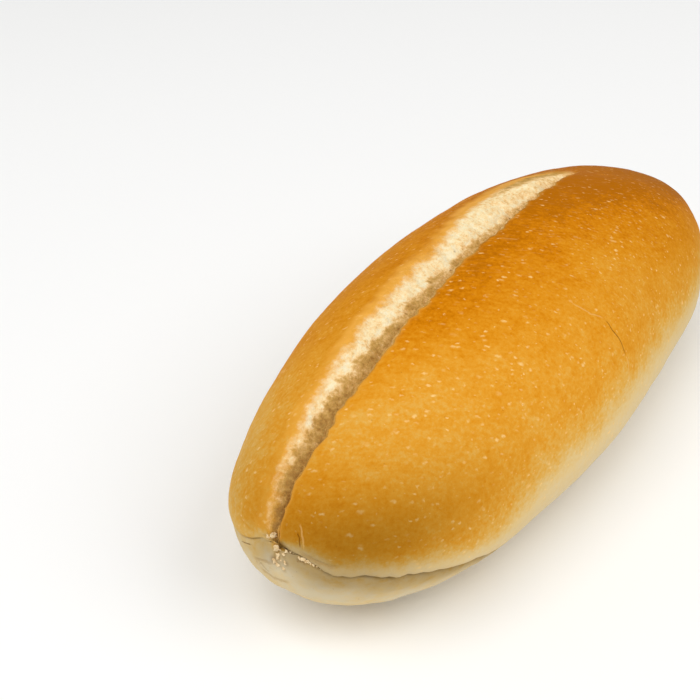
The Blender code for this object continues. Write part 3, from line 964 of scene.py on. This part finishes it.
# The skin's browning is broken up by clouds of noise, as (size, share), and by streaks. The skin was
# stretched across the loaf as it was rolled, and the streaks and flecks lie that way.
SKIN_CLOUDS = ((3.2 * MM, 0.34), (0.75 * MM, 0.50))
STREAK_TURN = -0.937  # radians
STREAK_SIZE = (4.5 * MM, 0.8 * MM, 0.8 * MM)
STREAK_SHARE = 0.28
MOTTLE_MIDDLE = (sum(share for _, share in SKIN_CLOUDS) + STREAK_SHARE) / 2
MOTTLED_BAKES = (0.15, 0.5)  # pale crust is nearly even, and brown crust is mottled in full
PALE_MOTTLE = 0.3
PALE_STREAK_SIZE = (7 * MM, 0.45 * MM, 0.45 * MM)
PALE_STREAK_SPAN = (0.62, 0.76)
PALE_STREAK_SHARE = 0.24
SKIN_GRAIN_HEIGHT = 0.06 * MM
# Flecks are tiny blisters, as (spacing, radius, share of places that have one). Real ones are as small
# as 0.1 mm across, which is too fine to show, so the smallest here are 0.3 mm across.
FLECKS = ((1.0 * MM, 0.29 * MM, 1.0), (2.3 * MM, 0.36 * MM, 0.8), (6.0 * MM, 0.58 * MM, 0.6))
FLECK_LEAST_SHARE = 0.45  # the smallest fleck of a kind, as a share of its radius
FLECK_CORE = 0.15
FLECK_CONTRAST = 1.2
FLECK_STRETCH = (1.9, 1.0, 1.0)
FLECK_WARP_SIZE = 0.8 * MM
FLECK_WARP = 0.9 * MM
FLECK_SHARE = 0.85
FLECK_TONE = "#F8D088"
PORE_SPACING = 2.4 * MM
PORE_RADIUS = 0.17 * MM
PORE_SHARE = 0.55
PORE_TONE = "#9A5E0C"
# The dull brown, which is painted shade low on the near end.
SHADE_AND_DULL_TONE = "#6A4C14"
GOLD_TONE = "#F9BA54"
GOLD_EVEN_SHARE = 0.85
GOLD_MOTTLE = 1.6
# From raw pale to darkest.
CRUST_TONES = (
    (0.00, "#DCCCA9"),
    (0.18, "#E2C58B"),
    (0.27, "#E1BA70"),
    (0.38, "#E0AA4C"),
    (0.52, "#DF9B30"),
    (0.68, "#D98D1B"),
    (0.84, "#CE7C09"),
    (1.00, "#B76A04"),
)

# The torn crumb frays out into the crust, and its cells make it uneven. Real cells are as small as
# 0.2 mm, which is too fine to show, so they are drawn at 0.9 mm with finer noise on them.
FRAY_SIZE = 2.2 * MM
FRAY_REACH = 4.6 * MM
FRAY_SPAN = (2.4 * MM, -0.3 * MM)
CLOUD_SIZE = 2.6 * MM
CLOUD_SHARE = 1.00
CELL_SIZE = 0.9 * MM
CELL_SHARE = 1.20
CELL_HEIGHT = 0.5 * MM
TONE_MIDDLE = 0.93
# The painted shadow under the lip: noise makes its edge ragged, and it darkens over this span.
RAGGED_SHADE = 5.0
SHADE_SPAN = (0.8, 4.6)
# The crumb's open cells are painted dark, as the shade inside them, and more so in the painted shadow under
# the lip.
OPEN_CELL_SPACING = 1.9 * MM
OPEN_CELL_WARP = 0.7 * MM
OPEN_CELL_RARITY = 2.5  # the higher, the fewer of them are large
OPEN_CELL_RADIUS = 0.28  # of the largest, as a share of the spacing
OPEN_CELL_SHARE = 0.6
OPEN_CELL_SHARE_IN_SHADE = 0.2
OPEN_CELL_TONE = "#8A5A22"
CRUMB_TONES = (
    (0.00, "#FFF2CC"),
    (0.20, "#FFE8B4"),
    (0.38, "#F8D296"),
    (0.56, "#DFB470"),
    (0.74, "#CBA058"),
    (1.00, "#AE8244"),
)

LINE_WOBBLE_SIZE = 1.1 * MM
LINE_WIDTHS = {"crack": 0.15 * MM, "fold": 0.60 * MM, "ridge": 0.26 * MM}
LINE_CORE = 0.25
LINE_TONES = {"crack": (0.70, "#8A4E08"), "fold": (0.34, "#A87C3E"), "ridge": (0.28, "#FBD088")}
LINE_DEPTHS = {"crack": -0.14 * MM, "fold": -0.12 * MM, "ridge": 0.06 * MM}
# The thin torn edge of the crust, the painted shade round the crumbs with the toasted spots, and the painted
# shadow
# # in the crease above the foot, with their shares.
PAINTED = (("lip_edge", 0.55, "#D89A42"), ("shade_and_toast", 0.6, "#8A6228"), ("crease_shadow", 0.95, "#5A3E12"))

SKIN_ROUGHNESS = 0.5
MATT_ROUGHNESS = 0.9  # crumb and board
# Baked starch has an IOR near 1.5, which is the shader's own. But this skin dried rough and floury, so
# soft light leaves next to no highlight on it, and its specular level is matched to that.
SKIN_SPECULAR = 0.005
SKIN_SPECULAR_TINT = "#FFD890"
MATT_SPECULAR = 0.1
LOOSE_CRUMB_CELL_SIZE = 0.5 * MM
LOOSE_CRUMB_CONTRAST = 1.4
LOOSE_CRUMB_LIFT = -0.5
LOOSE_CRUMB_TONES = ((0.0, "#F4DCB0"), (0.45, "#D9B57E"), (1.0, "#8E622C"))


def fleck_masks(tree, here):
    """1 on each of the skin's flecks, large and small, and 0 between them."""
    warp = add(tree, "TexNoise", {"Vector": here, "Scale": 1 / FLECK_WARP_SIZE, "Detail": 2.0})
    shift = {0: (warp, "Color"), 1: (FLECK_WARP,) * 3, 2: here}
    warped = add(tree, "VectorMath", shift, operation="MULTIPLY_ADD")
    turn = {"Vector": warped, "Rotation": (0.0, 0.0, STREAK_TURN), "Scale": FLECK_STRETCH}
    turned = add(tree, "Mapping", turn, vector_type="TEXTURE")
    total = None
    for spacing, radius, share in FLECKS:
        cells = add(tree, "TexVoronoi", {"Vector": turned, "Scale": 1 / spacing})
        number = add(tree, "SeparateColor", {"Color": (cells, "Color")})
        reach = radius / spacing
        sizes = {0: (number, "Green"), 1: reach, 2: FLECK_LEAST_SHARE * reach}
        size = add(tree, "Math", sizes, operation="MULTIPLY_ADD")
        core = add(tree, "Math", {0: size, 1: FLECK_CORE}, operation="MULTIPLY")
        span = {"Value": (cells, "Distance"), "From Min": size, "From Max": core}
        spot = add(tree, "MapRange", span, interpolation_type="SMOOTHSTEP")
        chosen = add(tree, "Math", {0: (number, "Red"), 1: share}, operation="LESS_THAN")
        strength = add(tree, "Math", {0: (number, "Blue"), 1: FLECK_CONTRAST}, operation="POWER")
        strength = add(tree, "Math", {0: strength, 1: chosen}, operation="MULTIPLY")
        mask = add(tree, "Math", {0: spot, 1: strength}, operation="MULTIPLY")
        total = add(tree, "Math", {0: mask, 1: total}, operation="MAXIMUM") if total else mask
    return total


def line_mask(tree, given, kind, wobble):
    """1 on the lines of a kind, from their signed distance, and 0 beside them."""
    width = LINE_WIDTHS[kind]
    shifted = add(tree, "Math", {0: wobble, 1: width, 2: given[kind + "_side"]}, operation="MULTIPLY_ADD")
    off = add(tree, "Math", {0: shifted}, operation="ABSOLUTE")
    span = {"Value": off, "From Min": width, "From Max": LINE_CORE * width}
    mask = add(tree, "MapRange", span, interpolation_type="SMOOTHSTEP")
    return add(tree, "Math", {0: mask, 1: given[kind + "_share"]}, operation="MULTIPLY")


def skin_mottle(tree, here):
    """How much browner or paler than its browning the skin is at a place, and its finest cloud."""
    mottle = None
    for size, share in SKIN_CLOUDS:
        cloud = add(tree, "TexNoise", {"Vector": here, "Scale": 1 / size, "Detail": 3.0, "Roughness": 0.65})
        mottle = add(tree, "Math", {0: cloud, 1: share, 2: mottle or 0.0}, operation="MULTIPLY_ADD")
    turn = {"Vector": here, "Rotation": (0.0, 0.0, STREAK_TURN), "Scale": STREAK_SIZE}
    drawn = add(tree, "Mapping", turn, vector_type="TEXTURE")
    streaks = add(tree, "TexNoise", {"Vector": drawn, "Scale": 1.0, "Detail": 3.0, "Roughness": 0.6})
    mottle = add(tree, "Math", {0: streaks, 1: STREAK_SHARE, 2: mottle}, operation="MULTIPLY_ADD")
    return add(tree, "Math", {0: mottle, 1: MOTTLE_MIDDLE}, operation="SUBTRACT"), cloud


def pale_streaks(tree, here, given):
    """How strongly a pale streak shows at a place."""
    turn = {"Vector": here, "Rotation": (0.0, 0.0, STREAK_TURN), "Scale": PALE_STREAK_SIZE}
    drawn = add(tree, "Mapping", turn, vector_type="TEXTURE")
    threads = add(tree, "TexNoise", {"Vector": drawn, "Scale": 1.0, "Detail": 2.0, "Distortion": 0.6})
    low, high = PALE_STREAK_SPAN
    span = {"Value": threads, "From Min": low, "From Max": high, "To Max": PALE_STREAK_SHARE}
    pale = add(tree, "MapRange", span)
    return add(tree, "Math", {0: pale, 1: given["streaked"]}, operation="MULTIPLY")


def crust_looks(tree, here, given):
    """The skin's colour and its finest relief."""
    mottle, cloud = skin_mottle(tree, here)
    low, high = MOTTLED_BAKES
    span = {"Value": given["bake"], "From Min": low, "From Max": high, "To Min": PALE_MOTTLE}
    vary = add(tree, "MapRange", span)
    browned = add(tree, "Math", {0: mottle, 1: vary, 2: given["bake"]}, operation="MULTIPLY_ADD")
    crust = add(tree, "ValToRGB", {"Fac": browned})
    set_ramp(crust, CRUST_TONES)

    flecks = add(tree, "Math", {0: fleck_masks(tree, here), 1: given["flecked"]}, operation="MULTIPLY")
    flecks = add(tree, "Math", {0: flecks, 1: FLECK_SHARE}, operation="MULTIPLY")
    pale = add(tree, "Math", {0: pale_streaks(tree, here, given), 1: flecks}, operation="MAXIMUM")
    cells = add(tree, "TexVoronoi", {"Vector": here, "Scale": 1 / PORE_SPACING})
    edge = PORE_RADIUS / PORE_SPACING
    span = {"Value": (cells, "Distance"), "From Min": edge, "From Max": 0.0, "To Max": PORE_SHARE}
    pores = add(tree, "MapRange", span)
    gold = add(tree, "Math", {0: mottle, 1: GOLD_MOTTLE, 2: GOLD_EVEN_SHARE}, operation="MULTIPLY_ADD")
    gold = add(tree, "Math", {0: gold, 1: given["gold"]}, operation="MULTIPLY")
    skin = crust
    # Over the crust lie pale marks, pores, the dull brown that is painted shade on the near end, and gold.
    layers = ((pale, FLECK_TONE), (pores, PORE_TONE), (given["shade_and_dull"], SHADE_AND_DULL_TONE), (gold, GOLD_TONE))
    for share, tone in layers:
        skin = add(tree, "Mix", {"Factor": share, "A": skin, "B": colour(tone)}, data_type="RGBA")
    return skin, add(tree, "Math", {0: cloud, 1: SKIN_GRAIN_HEIGHT}, operation="MULTIPLY")


def crumb_looks(tree, here, given):
    """The torn crumb's colour, where it shows, and its finest relief."""
    fray = add(tree, "TexNoise", {"Vector": here, "Scale": 1 / FRAY_SIZE, "Detail": 5.0, "Roughness": 0.7})
    frayed = add(tree, "Math", {0: fray, 1: FRAY_REACH, 2: given["past_tear"]}, operation="MULTIPLY_ADD")
    span = {"Value": frayed, "From Min": FRAY_SPAN[0], "From Max": FRAY_SPAN[1]}
    inner = add(tree, "MapRange", span, interpolation_type="SMOOTHSTEP")
    torn = add(tree, "Math", {0: inner, 1: given["torn"]}, operation="MULTIPLY")

    cloud = add(tree, "TexNoise", {"Vector": here, "Scale": 1 / CLOUD_SIZE, "Detail": 4.0, "Roughness": 0.6})
    cells = add(tree, "TexNoise", {"Vector": here, "Scale": 1 / CELL_SIZE, "Detail": 4.0, "Roughness": 0.7})
    # Painted shadow: a ragged band of darker crumb under the overhanging lip.
    shade = add(tree, "Math", {0: cloud, 1: RAGGED_SHADE, 2: given["into_lip_shadow"]}, operation="MULTIPLY_ADD")
    span = {"Value": shade, "From Min": SHADE_SPAN[0], "From Max": SHADE_SPAN[1]}
    shade = add(tree, "MapRange", span, interpolation_type="SMOOTHSTEP")
    tone = given["toast"]
    for part, share in ((shade, given["lip_shadow_share"]), (cloud, CLOUD_SHARE), (cells, CELL_SHARE)):
        tone = add(tree, "Math", {0: part, 1: share, 2: tone}, operation="MULTIPLY_ADD")
    tone = add(tree, "Math", {0: tone, 1: TONE_MIDDLE}, operation="SUBTRACT")
    crumb = add(tree, "ValToRGB", {"Fac": tone})
    set_ramp(crumb, CRUMB_TONES)

    # Painted shade inside the crumb's open cells.
    shift = {0: (cells, "Color"), 1: (OPEN_CELL_WARP,) * 3, 2: here}
    warped = add(tree, "VectorMath", shift, operation="MULTIPLY_ADD")
    spots = add(tree, "TexVoronoi", {"Vector": warped, "Scale": 1 / OPEN_CELL_SPACING})
    number = add(tree, "SeparateColor", {"Color": (spots, "Color")})
    size = add(tree, "Math", {0: (number, "Red"), 1: OPEN_CELL_RARITY}, operation="POWER")
    size = add(tree, "Math", {0: size, 1: OPEN_CELL_RADIUS}, operation="MULTIPLY")
    span = {"Value": (spots, "Distance"), "From Min": size, "From Max": 0.0}
    hollow = add(tree, "MapRange", span, interpolation_type="SMOOTHSTEP")
    deeper = {0: shade, 1: OPEN_CELL_SHARE_IN_SHADE, 2: OPEN_CELL_SHARE}
    share = add(tree, "Math", deeper, operation="MULTIPLY_ADD")
    share = add(tree, "Math", {0: hollow, 1: share}, operation="MULTIPLY")
    crumb = add(tree, "Mix", {"Factor": share, "A": crumb, "B": colour(OPEN_CELL_TONE)}, data_type="RGBA")
    return crumb, torn, add(tree, "Math", {0: cells, 1: CELL_HEIGHT}, operation="MULTIPLY")


def baked_wheat_dough():
    """Lean wheat dough, slashed and baked with steam: dry golden skin, matt torn crumb, pale soft foot."""
    material = bpy.data.materials.new("baked_wheat_dough")
    material.use_nodes = True
    tree = material.node_tree
    shader = tree.nodes["Principled BSDF"]
    here = (add(tree, "TexCoord"), "Object")
    given = {name: (add(tree, "Attribute", attribute_name=name), "Fac") for name in MASKS}
    skin, skin_height = crust_looks(tree, here, given)
    crumb, torn, crumb_height = crumb_looks(tree, here, given)
    dough = add(tree, "Mix", {"Factor": torn, "A": skin, "B": crumb}, data_type="RGBA")
    height = add(tree, "Mix", {"Factor": given["torn_relief"], "A": skin_height, "B": crumb_height})

    wobble = add(tree, "TexNoise", {"Vector": here, "Scale": 1 / LINE_WOBBLE_SIZE, "Detail": 3.0})
    wobble = add(tree, "Math", {0: wobble, 1: 2.0, 2: -1.0}, operation="MULTIPLY_ADD")
    painted = []
    for kind, (share, tone) in LINE_TONES.items():
        mask = line_mask(tree, given, kind, wobble)
        height = add(tree, "Math", {0: mask, 1: LINE_DEPTHS[kind], 2: height}, operation="MULTIPLY_ADD")
        painted.append((mask, share, tone))
    for mask, share, tone in painted + [(given[name], share, tone) for name, share, tone in PAINTED]:
        factor = add(tree, "Math", {0: mask, 1: share}, operation="MULTIPLY")
        dough = add(tree, "Mix", {"Factor": factor, "A": dough, "B": colour(tone)}, data_type="RGBA")

    tree.links.new(shown(dough.outputs, None), shader.inputs["Base Color"])
    bump = add(tree, "Bump", {"Height": height, "Distance": 1.0, "Strength": 1.0})
    tree.links.new(bump.outputs[0], shader.inputs["Normal"])
    rough = add(tree, "MapRange", {"Value": torn, "To Min": SKIN_ROUGHNESS, "To Max": MATT_ROUGHNESS})
    tree.links.new(rough.outputs[0], shader.inputs["Roughness"])
    shader.inputs["Specular IOR Level"].default_value = SKIN_SPECULAR
    shader.inputs["Specular Tint"].default_value = colour(SKIN_SPECULAR_TINT)
    return material


def torn_wheat_crumb():
    """Bits of crumb torn off the baked loaf: matt, pale cream, mottled with toasted brown."""
    material = bpy.data.materials.new("torn_wheat_crumb")
    material.use_nodes = True
    tree = material.node_tree
    shader = tree.nodes["Principled BSDF"]
    noise_at = {"Vector": (add(tree, "TexCoord"), "Object"), "Scale": 1 / LOOSE_CRUMB_CELL_SIZE}
    cells = add(tree, "TexNoise", {**noise_at, "Detail": 3.0, "Roughness": 0.6})
    spread = {0: cells, 1: LOOSE_CRUMB_CONTRAST, 2: LOOSE_CRUMB_LIFT}
    tone = add(tree, "Math", spread, operation="MULTIPLY_ADD")
    crumb = add(tree, "ValToRGB", {"Fac": tone})
    set_ramp(crumb, LOOSE_CRUMB_TONES)
    tree.links.new(crumb.outputs[0], shader.inputs["Base Color"])
    shader.inputs["Roughness"].default_value = MATT_ROUGHNESS
    shader.inputs["Specular IOR Level"].default_value = MATT_SPECULAR
    return material


def make_crumbs():
    """The loose crumbs below the slash, each a lumpy ball half sunk into the foot."""
    build = bmesh.new()
    for index, (place, radius) in enumerate(CRUMBS):
        made = bmesh.ops.create_icosphere(build, subdivisions=3, radius=radius * MM)["verts"]
        for vertex in made:
            pattern = vertex.co / CRUMB_LUMP_SIZE + Vector((index * CRUMB_SEED_STEP, 0.0, 0.0))
            vertex.co *= 1 + CRUMB_LUMP_SHARE * noise.fractal(pattern, 0.7, 2.0, 3)
            vertex.co += Vector(place) * MM
    mesh = bpy.data.meshes.new("crumbs")
    build.to_mesh(mesh)
    build.free()
    mesh.shade_smooth()
    mesh.materials.append(torn_wheat_crumb())
    crumbs = bpy.data.objects.new("crumbs", mesh)
    bpy.context.scene.collection.objects.link(crumbs)
    return crumbs


def white_board():
    """White painted board, rolled on: matt, with no pattern of its own."""
    material = bpy.data.materials.new("white_board")
    material.use_nodes = True
    shader = material.node_tree.nodes["Principled BSDF"]
    shader.inputs["Base Color"].default_value = colour("#FAFAF9")
    shader.inputs["Roughness"].default_value = MATT_ROUGHNESS
    shader.inputs["Specular IOR Level"].default_value = MATT_SPECULAR
    return material


FLOOR_HALF_WIDTH = 3.0
FLOOR_TOP = -0.05 * MM  # just clear of the roll's flat base
# Soft lamps: name, direction, distance and size in metres, and power in watts.
LAMPS = (
    ("key_softbox", (0.10, -0.66, 0.70), 1.3, 0.9, 6.3),
    ("top_softbox", (-0.45, 0.02, 0.92), 1.4, 1.1, 9.8),
    ("side_softbox", (0.25, -1.0, 0.22), 1.3, 0.7, 0.8),
    ("back_softbox", (-0.55, 0.75, 0.55), 1.3, 0.8, 1.7),
)
STUDIO_STRENGTH = 0.38


def make_floor():
    """The board that the roll lies on. It is stage, not part of the roll."""
    mesh = bpy.data.meshes.new("floor")
    signs = ((-1, -1), (1, -1), (1, 1), (-1, 1))
    corners = [(x * FLOOR_HALF_WIDTH, y * FLOOR_HALF_WIDTH, FLOOR_TOP) for x, y in signs]
    mesh.from_pydata(corners, [], [(0, 1, 2, 3)])
    mesh.materials.append(white_board())
    floor = bpy.data.objects.new("floor", mesh)
    bpy.context.scene.collection.objects.link(floor)


def add_softbox(name, towards, distance, size, power):
    """A square lamp that hangs in the direction towards, and shines at the roll."""
    lamp = bpy.data.lights.new(name, "AREA")
    lamp.shape = "SQUARE"
    lamp.size = size
    lamp.energy = power
    holder = bpy.data.objects.new(name, lamp)
    direction = Vector(towards).normalized()
    holder.location = direction * distance
    holder.rotation_euler = direction.to_track_quat("Z", "Y").to_euler()
    bpy.context.scene.collection.objects.link(holder)


def light_scene():
    """Even white light from all round, and the soft lamps."""
    world = bpy.data.worlds.new("studio")
    world.use_nodes = True
    background = world.node_tree.nodes["Background"]
    background.inputs["Color"].default_value = (1.0, 1.0, 1.0, 1.0)
    background.inputs["Strength"].default_value = STUDIO_STRENGTH
    bpy.context.scene.world = world
    for lamp in LAMPS:
        add_softbox(*lamp)


# The camera looks down on the near end and the broad side, tilted a little to its left.
CAMERA_PLACE = (-176.19 * MM, -103.538 * MM, 160.294 * MM)
CAMERA_TURN = (55.0649, 3.4922, -53.7025)  # degrees about X, Y and Z
CAMERA_LENS = 60.72
SENSOR_WIDTH = 36.0


def place_camera():
    """The camera at the photograph's viewing angle."""
    camera = bpy.data.cameras.new("camera")
    camera.lens = CAMERA_LENS
    camera.sensor_width = SENSOR_WIDTH
    camera.clip_start = 10 * MM
    holder = bpy.data.objects.new("camera", camera)
    holder.location = CAMERA_PLACE
    holder.rotation_euler = [radians(angle) for angle in CAMERA_TURN]
    bpy.context.scene.collection.objects.link(holder)
    bpy.context.scene.camera = holder


loaf = make_loaf()
loaf.data.materials.append(baked_wheat_dough())
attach(loaf, "root")
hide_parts("bolillo_roll")
crumbs = make_crumbs()
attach(crumbs, "root")
make_floor()
light_scene()
place_camera()
bpy.context.scene.view_settings.view_transform = "Standard"
